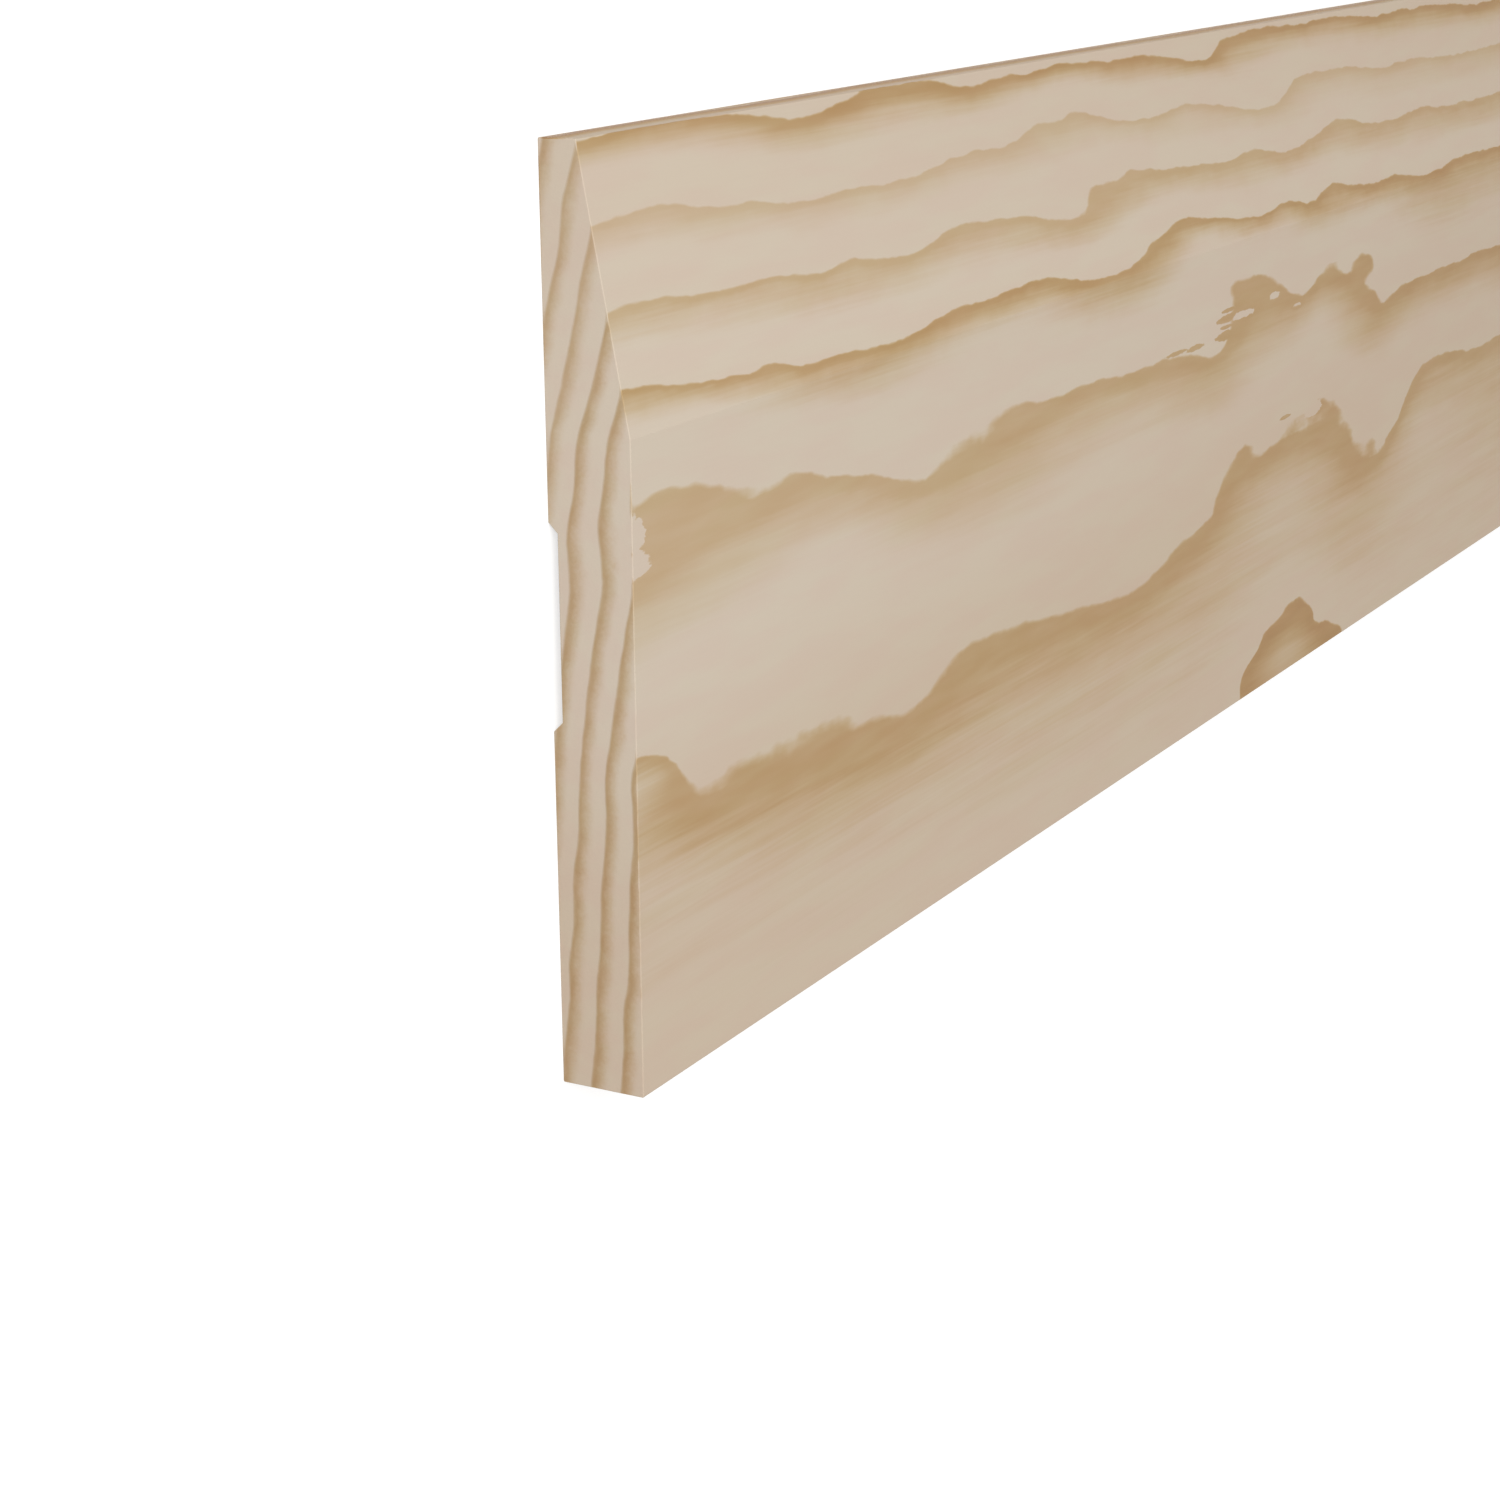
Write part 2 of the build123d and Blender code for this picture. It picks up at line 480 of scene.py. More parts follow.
@dataclass
class GrowthField:
    """The solid field of growth rings: a whole number at each ring's dark outer edge.

    The field is a sloping plane plus a sum of soft cones, one for each measured point: the weight of
    each cone times the square root of its distance squared plus the softness squared. The weights make
    the field exact at every measured point. Past the measured length, slow waves take over.

    Attributes:
        section: the moulding's section.
        foot: the near end's corner at the foot of the back, in metres.
        lines: the measured rings.
        reach: how many times further a point is felt along X, Y and Z.
        softness: the rounding of each cone's tip, in millimetres.
        fade: how far into a ring, as a share of it, its brown has faded out.
        measured: where the slow waves begin and where they are full, in millimetres from the near end.
        waves: the number of slow waves.
        wave_along: the shortest and the longest of them along the board, in millimetres.
        wave_across: the shortest and the longest across it and through it, in millimetres.
        sway: how far the waves move a ring, as a share of a ring.
        seed: the seed of the waves' random numbers.
        block: the number of points that are worked out at a time.
    """

    section: Section
    foot: Vector
    lines: tuple[RingLine, ...] = RING_LINES
    reach: Triple = (3.0, 1.0, 1.0)
    softness: float = 3.0
    fade: float = 0.45
    measured: Pair = (385.0, 560.0)
    waves: int = 16
    wave_along: Pair = (90.0, 420.0)
    wave_across: Pair = (60.0, 260.0)
    sway: float = 0.16
    seed: int = 7
    block: int = 4000
    anchors: np.ndarray = field(init=False, repr=False)
    weights: np.ndarray = field(init=False, repr=False)

    def __post_init__(self) -> None:
        """Solves for the cones' weights and the plane, which together fit every measured point."""
        self.anchors, values = self.measured_points()
        plane = np.c_[np.ones(len(self.anchors)), self.anchors]
        count, terms = plane.shape
        system = np.zeros((count + terms, count + terms))
        system[:count, :count] = self.cones(self.anchors)
        system[:count, count:] = plane
        system[count:, :count] = plane.T
        self.weights = np.linalg.solve(system, np.r_[values, np.zeros(terms)])

    def measured_points(self) -> tuple[np.ndarray, np.ndarray]:
        """Gathers the measured points of all rings.

        Returns:
            Their places in millimetres from the near end's foot corner, and the field's value at each.
        """
        places, values = [], []
        half = self.section.width / 2
        for line in self.lines:
            for marks, value in ((line.face, line.ring), (line.faded, line.ring - self.fade)):
                along, up = np.array(marks or np.empty((0, 2)), float).T
                over = self.section.up_the_face(up * MM) + (half, 0.0)
                places.append(np.c_[along, over / MM])
                values.append(np.full(len(along), float(value)))
            through, up = np.array(line.sawn or np.empty((0, 2)), float).T
            places.append(np.c_[np.zeros(len(up)), up, through])
            values.append(np.full(len(up), float(line.ring)))
        return np.concatenate(places), np.concatenate(values)

    def cones(self, places: np.ndarray) -> np.ndarray:
        """The height of every cone at every place: the root of distance squared plus softness squared.

        Args:
            places: points in millimetres from the near end's foot corner.

        Returns:
            One row for each place and one column for each cone.
        """
        apart = (places[:, None, :] - self.anchors[None, :, :]) / self.reach
        return np.sqrt((apart**2).sum(axis=-1) + self.softness**2)

    def slow_waves(self, places: np.ndarray) -> np.ndarray:
        """The sum of cosine waves of random direction and length, for the length past the measured one.

        Args:
            places: points in millimetres from the near end's foot corner.

        Returns:
            The shift of the rings at each place, as a share of a ring.
        """
        dice = np.random.default_rng(self.seed)
        along = dice.uniform(*self.wave_along, self.waves)
        lengths = np.c_[along, dice.uniform(*self.wave_across, (self.waves, 2))]
        turns = 2 * np.pi * dice.choice((-1.0, 1.0), (self.waves, 3)) / lengths
        starts = dice.uniform(0, 2 * np.pi, self.waves)
        total = np.cos(places @ turns.T + starts).sum(axis=-1)
        return total * self.sway * smooth_step(places[:, 0], *self.measured) / math.sqrt(self.waves / 2)

    def places(self, points: np.ndarray) -> np.ndarray:
        """Points of the row frame, in millimetres from the near end's foot corner."""
        return (points - np.array(self.foot)) / MM

    def at(self, points: np.ndarray) -> np.ndarray:
        """The field at points of the row frame: the plane, the cones and the slow waves added up.

        Args:
            points: an array of points in metres.

        Returns:
            The field's value at each point.
        """
        places = self.places(points)
        count = len(self.anchors)
        blocks = np.array_split(places, max(len(places) // self.block, 1))
        cones = np.concatenate([self.cones(block) @ self.weights[:count] for block in blocks])
        plane = np.c_[np.ones(len(places)), places] @ self.weights[count:]
        return plane + cones + self.slow_waves(places)

    def brown_at(self, places: np.ndarray, rings: np.ndarray) -> dict[str, np.ndarray]:
        """How the late wood is coloured, passing evenly from ring to ring and along the length.

        Args:
            places: points in millimetres from the near end's foot corner.
            rings: the field's value at each point.

        Returns:
            Arrays named brown and sawn_brown, the depth of brown on planed and on sawn wood, and
            breadth, how far the brown reaches into the ring.
        """
        numbers = [line.ring - self.fade / 2 for line in self.lines]
        share = np.clip(places[:, 0] / self.measured[0], 0.0, 1.0)
        shown = {"sawn_brown": np.interp(rings, numbers, [line.sawn_brown for line in self.lines])}
        browns = [line.brown for line in self.lines]
        breadths = [line.breadth for line in self.lines]
        for name, pairs in (("brown", browns), ("breadth", breadths)):
            near, far = np.array(pairs).T
            first = np.interp(rings, numbers, near)
            shown[name] = first + (np.interp(rings, numbers, far) - first) * share
        return shown


@dataclass(frozen=True)
class WarmthAndPaintedShade:
    """How the pale wood grows warmer and darker towards the thick edge and away from the near end: partly
    its own tone, partly painted shade.

    All lengths are in millimetres, along from the near end and up from the thick edge.

    Attributes:
        climb: how fast the warm side's border climbs along the length.
        side: the share of the warm side.
        border: the heights where the warm side begins to end and has ended, at the near end.
        gain: the share that every part gains further along.
        gain_length: the length over which it gains it.
        rim: the share that the thin edge's side gains.
        rim_heights: the heights where that side begins and is full.
        edge: the share that the thin edge itself gains on top, a painted shade that darkens its face.
        edge_heights: the heights where that begins and is full.
        patches: the share that the slow waves add or take past the measured length.
    """

    climb: float = 0.094
    side: float = 0.8
    border: Pair = (17.6, 57.0)
    gain: float = 0.55
    gain_length: float = 350.0
    rim: float = 0.28
    rim_heights: Pair = (88.0, 120.0)
    edge: float = 1.0
    edge_heights: Pair = (119.9, 120.0)
    patches: float = 1.2

    def at(self, places: np.ndarray, waves: np.ndarray) -> np.ndarray:
        """The warm share, partly painted shade: the warm side laid over the gain along the length, plus
        the rim.

        Args:
            places: points in millimetres from the near end's foot corner.
            waves: the slow waves at each place.

        Returns:
            The share at each point, where 1 is wholly warm and shaded.
        """
        along = np.minimum(places[:, 0], self.gain_length)
        # partly painted shade: darker and warmer towards the thick edge and further along
        side = self.side * (1.0 - smooth_step(places[:, 1] - self.climb * along, *self.border))
        gained = self.gain * along / self.gain_length
        rim = self.rim * smooth_step(places[:, 1], *self.rim_heights)
        # painted shade: the thin edge's face is darkened by a full warm share
        edge = self.edge * smooth_step(places[:, 1], *self.edge_heights)
        return gained + (1.0 - gained) * side + rim + edge + self.patches * waves


@dataclass(frozen=True)
class Board:
    """The whole board as one closed mesh: the section carried along the length, with two capped ends.

    Attributes:
        section: the moulding's section.
        low: the lowest corner of the board's box.
        high: the highest corner of the board's box.
        end_arris: the size of the sanded arris round each sawn end.
        end_steps: the number of chords across that arris.
        marks: lengths from the near end where the spacing of the stations changes.
        spacings: that spacing up to each mark, and then up to the far end.
        sawn_slope: how fast the rings pass across a sawn end, in rings a millimetre.
    """

    section: Section
    low: Vector
    high: Vector
    end_arris: float = 0.12 * MM
    end_steps: int = 3
    marks: tuple[float, ...] = (30 * MM, 390 * MM)
    spacings: tuple[float, ...] = (1.0 * MM, 2.0 * MM, 14.0 * MM)
    sawn_slope: float = 0.23

    def stations(self) -> tuple[np.ndarray, np.ndarray]:
        """Places along the length, close together by the near end, with the outline's inset at each.

        Over the end arris both follow a quarter circle: the place by one less the cosine of the turn,
        and the inset by one less the sine.

        Returns:
            The rising places along X, and the inset of the outline at each of them.
        """
        turn = np.linspace(0.0, np.pi / 2, self.end_steps + 1)
        rise = self.end_arris * (1 - np.cos(turn))
        inset = self.end_arris * (1 - np.sin(turn))
        length = self.high.x - self.low.x
        bounds = (self.end_arris, *self.marks, length - self.end_arris)
        spans = [
            divided(span, spacing)[:-1] for span, spacing in zip(zip(bounds, bounds[1:]), self.spacings)
        ]
        middle = np.concatenate(spans)[1:]
        along = np.concatenate([rise, middle, length - rise[::-1]]) + self.low.x
        return along, np.concatenate([inset, np.zeros(len(middle)), inset[::-1]])

    def slopes(self, along: np.ndarray, around: np.ndarray, rings: np.ndarray) -> np.ndarray:
        """How fast the rings pass within the surface, by the rise round the outline and along the length.

        Args:
            along: the stations' places along X.
            around: the outline's points at every station.
            rings: the growth field at those points, in one row.

        Returns:
            The root of both rises squared and added, at each point, in rings a millimetre.
        """
        grid = rings.reshape(around.shape[:2])
        rise = np.roll(grid, -1, axis=1) - np.roll(grid, 1, axis=1)
        apart = np.linalg.norm(np.roll(around, -1, axis=1) - np.roll(around, 1, axis=1), axis=-1)
        return np.hypot(rise / apart, np.gradient(grid, along, axis=0)).ravel() * MM

    def side_faces(self, stations: int, count: int) -> tuple[np.ndarray, np.ndarray]:
        """The faces of the side: between each station and the next, a strip of them round the outline.

        Args:
            stations: the number of stations.
            count: the number of points in the outline.

        Returns:
            The corners of each face, and the number of the surface that it belongs to.
        """
        strips = np.arange(stations - 1)
        start = strips[:, None] * count + np.arange(count)
        beside = strips[:, None] * count + np.roll(np.arange(count), -1)
        faces = np.stack([start, beside, beside + count, start + count], axis=-1).reshape(-1, 4)
        eased = (strips < self.end_steps) | (strips >= len(strips) - self.end_steps)
        slots = np.where(eased, Surface.EASED.value, Surface.PLANED.value)
        return faces, np.repeat(slots, count)

    def mesh(self, growth: GrowthField, tone: WarmthAndPaintedShade) -> bpy.types.Mesh:
        """Builds the closed mesh, with the growth field and all that follows from it as attributes.

        The side is the outline's points, moved in by each station's inset, at every station. Each end is
        a grid whose inside points blend the four sides, each by its nearness, less the four corners.

        Args:
            growth: the field that gives the rings' values.
            tone: the rule that gives the warm share, which is partly painted shade.

        Returns:
            The mesh, with its faces in the material slots that Surface numbers.
        """
        sides = self.section.sides()
        outline = np.concatenate(
            [sides["back"], sides["thin"][1:], sides["face"][-2::-1], sides["thick"][-2:0:-1]]
        )
        columns, rows = len(sides["back"]), len(sides["thick"])
        border = border_numbers(columns, rows)
        along, inset = self.stations()
        around = outline + inward_directions(outline) * inset[:, None, None]
        side = np.c_[np.repeat(along, len(outline)), around.reshape(-1, 2)]

        side_faces, side_slots = self.side_faces(len(along), len(outline))
        points, faces, slots = [side], [side_faces], [side_slots]
        total = len(side)
        # The two ends: which station each is, its first point's number, and if its faces turn over
        for station, first, turned in ((0, 0, False), (-1, len(side) - len(outline), True)):
            inside = blended_grid(around[station], border)[1:-1, 1:-1].reshape(-1, 2)
            points.append(np.c_[np.full(len(inside), along[station]), inside])
            numbers = border + first
            numbers[1:-1, 1:-1] = total + np.arange(len(inside)).reshape(columns - 2, rows - 2)
            total += len(inside)
            quads = grid_faces(numbers)
            faces.append(quads[:, ::-1] if turned else quads)
            slots.append(np.full(len(quads), Surface.SAWN.value))

        corners = np.concatenate(points)
        mesh = bpy.data.meshes.new("architrave_board")
        mesh.from_pydata(corners.tolist(), [], np.concatenate(faces).tolist())
        mesh.polygons.foreach_set("material_index", np.concatenate(slots).astype(np.int32))

        rings, places = growth.at(corners), growth.places(corners)
        slopes = self.slopes(along, around, rings[: len(side)])
        steep = np.concatenate([slopes, np.full(len(corners) - len(side), self.sawn_slope)])
        # the warm share, partly painted shade: darker towards the thick edge, further along and on the
        # thin edge
        warmth_and_shade = tone.at(places, growth.slow_waves(places))
        read = {"growth": rings, "steep": steep, **growth.brown_at(places, rings), "warmth_and_shade": warmth_and_shade}
        for name, values in read.items():
            layer = mesh.attributes.new(name, "FLOAT", "POINT")
            layer.data.foreach_set("value", values.astype(np.float32))
        mesh.validate()
        mesh.update()
        return mesh

    def dress(self, mesh: bpy.types.Mesh, finishes: dict[Surface, bpy.types.Material]) -> None:
        """Gives the mesh the finish of each surface, in the order of their numbers.

        Args:
            mesh: the board's mesh.
            finishes: the material for each surface.
        """
        for surface in Surface:
            mesh.materials.append(finishes[surface])

    def place(self, mesh: bpy.types.Mesh) -> bpy.types.Object:
        """Puts the board into the scene, in the place of the plain one.

        Args:
            mesh: the board's mesh.

        Returns:
            The board.
        """
        board = bpy.data.objects.new("architrave_board", mesh)
        bpy.context.scene.collection.objects.link(board)
        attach(board, "root")
        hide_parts("architrave")
        return board


def grid_faces(numbers: np.ndarray) -> np.ndarray:
    """The faces between the points of a grid: each goes over two points of a line and back over the next.

    Args:
        numbers: the grid of the points' numbers.

    Returns:
        The four corners of each face.
    """
    low, high = numbers[:-1], numbers[1:]
    corners = (low[:, :-1], low[:, 1:], high[:, 1:], high[:, :-1])
    return np.stack(corners, axis=-1).reshape(-1, 4)


def border_numbers(columns: int, rows: int) -> np.ndarray:
    """Numbers the border of a grid as the outline runs: back, thin edge, face and thick edge.

    Args:
        columns: grid points across.
        rows: grid points through.

    Returns:
        A grid of whole numbers, with minus one inside the border.
    """
    numbers = np.full((columns, rows), -1)
    back = np.arange(columns)
    thin = columns - 1 + np.arange(rows)
    face = thin[-1] + np.arange(columns)
    thick = face[-1] + np.arange(rows)
    numbers[-1, :] = thin
    numbers[::-1, -1] = face
    numbers[0, ::-1] = thick
    numbers[:, 0] = back
    return numbers


def inward_directions(outline: np.ndarray) -> np.ndarray:
    """The direction into the section at each point of a closed outline.

    It is the chord between a point's two neighbours, turned a quarter turn to the left.

    Args:
        outline: points that run counter-clockwise.

    Returns:
        A unit direction for each point.
    """
    chord = np.roll(outline, -1, axis=0) - np.roll(outline, 1, axis=0)
    left = np.stack([-chord[:, 1], chord[:, 0]], axis=-1)
    return left / np.linalg.norm(left, axis=-1, keepdims=True)


def blended_grid(outline: np.ndarray, numbers: np.ndarray) -> np.ndarray:
    """Fills a grid from its border: the blend of both pairs of sides, less the blend of the corners.

    Args:
        outline: the border's points.
        numbers: the grid of their numbers.

    Returns:
        A grid of points.
    """
    columns, rows = numbers.shape
    back, face = outline[numbers[:, 0]], outline[numbers[:, -1]]
    thick, thin = outline[numbers[0, :]], outline[numbers[-1, :]]
    span = back[-1, 0] - back[0, 0]
    u = ((back[:, 0] - back[0, 0]) / span)[:, None, None]
    v = np.linspace(0.0, 1.0, rows)[None, :, None]
    between_levels = (1 - v) * back[:, None] + v * face[:, None]
    between_edges = (1 - u) * thick[None] + u * thin[None]
    corners = (1 - u) * ((1 - v) * thick[0] + v * thick[-1]) + u * ((1 - v) * thin[0] + v * thin[-1])
    return between_levels + between_edges - corners


class NodeBench:
    """Lays nodes in one shader tree and joins them up."""

    def __init__(self, tree: bpy.types.NodeTree) -> None:
        """Takes the tree to work in."""
        self.tree = tree

    def lay(self, kind: str, inputs: dict | None = None, **settings: object) -> bpy.types.Node:
        """Adds one node.

        Args:
            kind: the node's type, without the words ShaderNode.
            inputs: for each input's name or number, the socket to join to it or the value to set.
            settings: the node's own properties.

        Returns:
            The new node.
        """
        node = self.tree.nodes.new(f"ShaderNode{kind}")
        for name, value in settings.items():
            setattr(node, name, value)
        for name, value in (inputs or {}).items():
            if isinstance(value, Socket):
                self.tree.links.new(value, node.inputs[name])
            else:
                node.inputs[name].default_value = value
        return node

    def maths(self, operation: str, *values: object) -> Socket:
        """Adds a Math node for one operation on sockets or numbers, and returns its output."""
        return self.lay("Math", dict(enumerate(values)), operation=operation).outputs[0]

    def eased(self, value: Socket, low: float, high: float) -> Socket:
        """Adds a smooth step that rises from 0 at low to 1 at high, and returns its output."""
        inputs = {"Value": value, "From Min": low, "From Max": high}
        return self.lay("MapRange", inputs, interpolation_type="SMOOTHSTEP").outputs["Result"]

    def curve(self, value: Socket, points: tuple[Point, ...]) -> Socket:
        """Adds a curve through the given points.

        Args:
            value: the socket that the curve reads.
            points: the curve's points, of which the first and last are its ends.

        Returns:
            The curve's output.
        """
        node = self.lay("FloatCurve", {"Value": value})
        line = node.mapping.curves[0].points
        line[0].location = points[0]
        line[1].location = points[-1]
        for point in points[1:-1]:
            line.new(*point)
        node.mapping.update()
        return node.outputs["Value"]

    def blend(self, share: object, first: object, second: object, how: str = "MIX") -> Socket:
        """Mixes two colours.

        Args:
            share: how much of the second colour there is, as a socket or a number.
            first: the first colour.
            second: the second colour.
            how: the way of mixing.

        Returns:
            The mixed colour.
        """
        inputs = {MIX_SHARE: share, MIX_FIRST: first, MIX_SECOND: second}
        return self.lay("Mix", inputs, data_type="RGBA", blend_type=how).outputs[MIX_RESULT]

    def figure(self, noise: Noise, size: Triple, detail: float = 2.0) -> Socket:
        """Adds a solid noise whose patches have a given size along each axis.

        Args:
            noise: which of the wood's noises it is.
            size: the patches' size in metres along X, Y and Z.
            detail: the number of finer layers.

        Returns:
            The noise, from 0 to 1.
        """
        place = self.lay("TexCoord").outputs["Object"]
        scale = tuple(1 / part for part in size)
        inputs = {0: place, 1: scale, 2: (noise.value,) * 3}
        stretched = self.lay("VectorMath", inputs, operation="MULTIPLY_ADD").outputs[0]
        return self.lay("TexNoise", {"Vector": stretched, "Scale": 1.0, "Detail": detail}).outputs["Fac"]

    def either_way(self, noise: Noise, size: Triple, detail: float = 2.0) -> Socket:
        """Adds a noise as figure does and takes its middle from it, so that it goes both ways from 0."""
        return self.maths("SUBTRACT", self.figure(noise, size, detail), NOISE_MIDDLE)


@dataclass(frozen=True)
class RingPattern:
    """The shader group that turns the growth field into late wood and the wood's colour.

    Attributes:
        name: the group's name.
        stain: how fast red, green and blue are lost as the wood turns brown.
        pale: the colour of the palest wood.
        fading: how brown the wood is by the depth in from the ring's outer edge, as a curve's points.
        softness: how far the brown rises on either side of the ring's edge: as a share of a ring, and in
            millimetres on top of it.
        deepest: the late wood at the dark end of the stain.
        stain_stops: the places between its ends where the stain is worked out, as shares of the deepest.
        lenses: the small spots that break the rings' edges.
        lens_depth: half the depth of a lens into the wood, in millimetres.
        lens_ends: how far out a lens's lift begins and is full, as shares of its half sizes.
        tear_size: the size of the tears in a lens's edge.
        tear: how far they reach, as a share of the lens's half sizes.
        ripple_size: the size of the small bends in a ring's edge.
        ripple: how far they move the edge: as a share of a ring, and in millimetres on top of it.
        fray_size: the size of the fibres that fray the edge.
        fray: how far those move the edge.
        streak_size: the size of the streaks along the grain.
        streak: how far they carry the brown into the pale wood, as a share of a ring.
        streak_start: how far in from the ring's edge they are at their full, as a share of a ring.
        band_size: the size of the broad streaks.
        band: how far those carry the brown.
        mottle_size: the size of the blotches in the brown.
        mottle: how much they deepen and lighten it.
        warmth_and_shade: what is left of red, green and blue where the pale wood is wholly warm, partly
            its own tone and partly painted shade.
        pink: what is left of red, green and blue in the pinker patches.
        patch_size: the size of those patches.
        patch_ends: where their noise begins to show and where it shows in full.
        painted_highlight: the paler colour of the painted highlight on the eased arrises.
    """

    name: str
    stain: Triple
    pale: Colour
    fading: tuple[Point, ...]
    softness: Pair = (0.005, 0.13)
    deepest: float = 2.4
    stain_stops: tuple[float, ...] = (0.12, 0.25, 0.37, 0.5, 0.62, 0.75, 0.87)
    lenses: tuple[Lens, ...] = LENSES
    lens_depth: float = 2.5
    lens_ends: Pair = (1.5, 0.5)
    tear_size: Triple = (2.0 * MM, 0.8 * MM, 0.8 * MM)
    tear: float = 1.1
    ripple_size: Triple = (6.0 * MM, 4.0 * MM, 4.0 * MM)
    ripple: Pair = (0.008, 1.25)
    fray_size: Triple = (4.0 * MM, 0.7 * MM, 0.7 * MM)
    fray: float = 0.003
    streak_size: Triple = (24 * MM, 0.5 * MM, 0.5 * MM)
    streak: float = 0.16
    streak_start: float = 0.15
    band_size: Triple = (60 * MM, 3.0 * MM, 3.0 * MM)
    band: float = 0.26
    mottle_size: Triple = (16 * MM, 2.5 * MM, 2.5 * MM)
    mottle: float = 0.6
    # partly the wood's own tone, partly painted shade: what the warm share leaves of each colour
    warmth_and_shade: Triple = (0.923, 0.872, 0.815)
    pink: Triple = (1.0, 0.965, 0.975)
    patch_size: Triple = (22 * MM, 4.0 * MM, 4.0 * MM)
    patch_ends: Pair = (0.35, 0.65)
    # painted highlight: the colour that the eased arrises are lightened towards
    painted_highlight: Colour = shade(226, 212, 194)

    def group(self, foot: Vector) -> bpy.types.NodeTree:
        """Builds the group, with the late wood and the wood's colour as its outputs.

        Args:
            foot: the near end's corner at the foot of the face, where the lenses are measured from.

        Returns:
            The group.
        """
        tree = bpy.data.node_groups.new(self.name, "ShaderNodeTree")
        for name in ("Growth", "Steep", "Brown", "Breadth", "WarmthAndShade", "PaintedHighlight"):
            tree.interface.new_socket(name, in_out="INPUT", socket_type="NodeSocketFloat")
        tree.interface.items_tree["Breadth"].default_value = 1.0
        tree.interface.new_socket("Late Wood", in_out="OUTPUT", socket_type="NodeSocketFloat")
        tree.interface.new_socket("Colour", in_out="OUTPUT", socket_type="NodeSocketColor")
        bench = NodeBench(tree)
        given = tree.nodes.new("NodeGroupInput").outputs
        growth = self.bent(bench, self.lensed(bench, given["Growth"], foot), given["Steep"])
        late = self.late_wood(bench, given, growth)
        shown = tree.nodes.new("NodeGroupOutput").inputs
        tree.links.new(late, shown["Late Wood"])
        tree.links.new(self.colour(bench, given, late), shown["Colour"])
        return tree

    def lensed(self, bench: NodeBench, growth: Socket, foot: Vector) -> Socket:
        """Adds each lens to the field: its lift, which eases off as the distance grows.

        The distance is measured in the lens's own half sizes, and a noise moves it in and out, so that
        the lens has a torn edge.

        Args:
            bench: the bench of the group.
            growth: the field.
            foot: the near end's corner at the foot of the face.

        Returns:
            The field with all lenses in it.
        """
        place = bench.lay("TexCoord").outputs["Object"]
        torn = bench.either_way(Noise.TEAR, self.tear_size)
        for lens in self.lenses:
            along, up = lens.centre
            middle = foot + Vector((along * MM, up * MM, 0.0))
            scale = tuple(1 / (half * MM) for half in (*lens.half, self.lens_depth))
            from_middle = bench.lay("VectorMath", {0: place, 1: middle}, operation="SUBTRACT")
            scaled = bench.lay("VectorMath", {0: from_middle.outputs[0], 1: scale}, operation="MULTIPLY")
            away = bench.lay("VectorMath", {0: scaled.outputs[0]}, operation="LENGTH")
            distance = bench.maths("MULTIPLY_ADD", torn, self.tear, away.outputs["Value"])
            share = bench.eased(distance, *self.lens_ends)
            growth = bench.maths("MULTIPLY_ADD", share, lens.lift, growth)
        return growth

    def bent(self, bench: NodeBench, growth: Socket, steep: Socket) -> Socket:
        """Moves the rings by ripple and fray, each its noise times its reach.

        Args:
            bench: the bench of the group.
            growth: the field, with the lenses in it.
            steep: how fast the rings pass, in rings a millimetre.

        Returns:
            The moved field.
        """
        least, reach = self.ripple
        ripple = bench.maths("MULTIPLY_ADD", steep, reach, least)
        bends = bench.either_way(Noise.RIPPLE, self.ripple_size)
        rippled = bench.maths("MULTIPLY_ADD", bends, ripple, growth)
        fibres = bench.either_way(Noise.FRAY, self.fray_size)
        return bench.maths("MULTIPLY_ADD", fibres, self.fray, rippled)

    def streaked(self, bench: NodeBench, depth: Socket) -> Socket:
        """Moves the depth in the ring by both kinds of streak, which come in smoothly from its edge.

        Args:
            bench: the bench of the group.
            depth: the depth in from the ring's outer edge, as a share of a ring.

        Returns:
            The moved depth.
        """
        fine = bench.either_way(Noise.STREAK, self.streak_size, detail=3.0)
        broad = bench.either_way(Noise.BAND, self.band_size)
        shift = bench.maths("MULTIPLY_ADD", fine, self.streak, bench.maths("MULTIPLY", broad, self.band))
        return bench.maths("MULTIPLY_ADD", shift, bench.eased(depth, 0.0, self.streak_start), depth)

    def late_wood(self, bench: NodeBench, given: Sockets, growth: Socket) -> Socket:
        """The late wood: how far the fading curve leaves the wood brown at its depth in the ring.

        The depth is what the bent field lacks to the next whole number. The curve reads the streaked
        depth over the ring's breadth. At the ring's edge the brown rises softly from both sides, and
        the whole is times the ring's own brown and its blotches.

        Args:
            bench: the bench of the group.
            given: the group's inputs.
            growth: the bent field.

        Returns:
            The late wood.
        """
        depth = bench.maths("SUBTRACT", 1.0, bench.maths("FRACT", growth))
        spread = bench.maths("DIVIDE", self.streaked(bench, depth), given["Breadth"])
        faded = bench.curve(spread, self.fading)
        least, reach = self.softness
        soft = bench.maths("MULTIPLY_ADD", given["Steep"], reach, least)
        begun = bench.maths("MULTIPLY", faded, bench.eased(bench.maths("DIVIDE", depth, soft), -1.0, 1.0))
        left = bench.maths("SUBTRACT", depth, 1.0)
        beyond = bench.eased(bench.maths("DIVIDE", left, soft), -1.0, 1.0)
        blotches = bench.either_way(Noise.MOTTLE, self.mottle_size)
        blotched = bench.maths("MULTIPLY_ADD", blotches, self.mottle, 1.0)
        brown = bench.maths("MULTIPLY", given["Brown"], blotched)
        return bench.maths("MULTIPLY", bench.maths("MAXIMUM", begun, beyond), brown)

